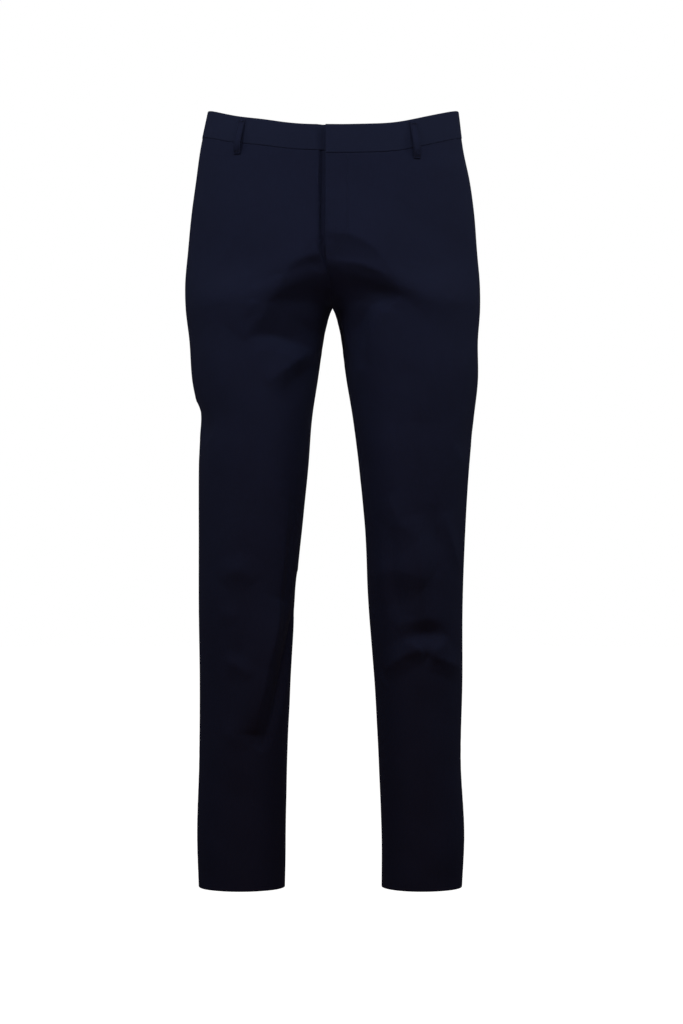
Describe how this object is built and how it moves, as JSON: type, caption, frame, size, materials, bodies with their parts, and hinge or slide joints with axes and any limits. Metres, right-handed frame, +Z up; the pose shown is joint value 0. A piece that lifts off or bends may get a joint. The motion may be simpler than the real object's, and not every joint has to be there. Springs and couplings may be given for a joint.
{
  "type": "work trousers",
  "caption": "Slim dark navy twill work trousers, filled out as if worn, hollow and open at the waist and both hems, with belt loops.",
  "frame": {"origin": "centre of the waist ring, half way up the waistband, where the wearer holds the trousers up", "axes": "+Z up the body, towards the waistband; the front with the fly faces -Y; the wearer's left leg is on the +X side"},
  "size_m": [0.4018, 0.234, 1.0559],
  "materials": {
    "navy_twill": "very dark navy stretch cotton twill, pressed, soft faint sheen"
  },
  "bodies": {
    "root": {"front_right": "navy_twill", "front_left": "navy_twill", "back_right": "navy_twill", "back_left": "navy_twill", "waistband_right": "navy_twill", "waistband_left": "navy_twill", "loop_front_right": "navy_twill", "loop_front_left": "navy_twill", "loop_side_right": "navy_twill", "loop_side_left": "navy_twill", "loop_centre_back": "navy_twill"}
  },
  "joints": []
}
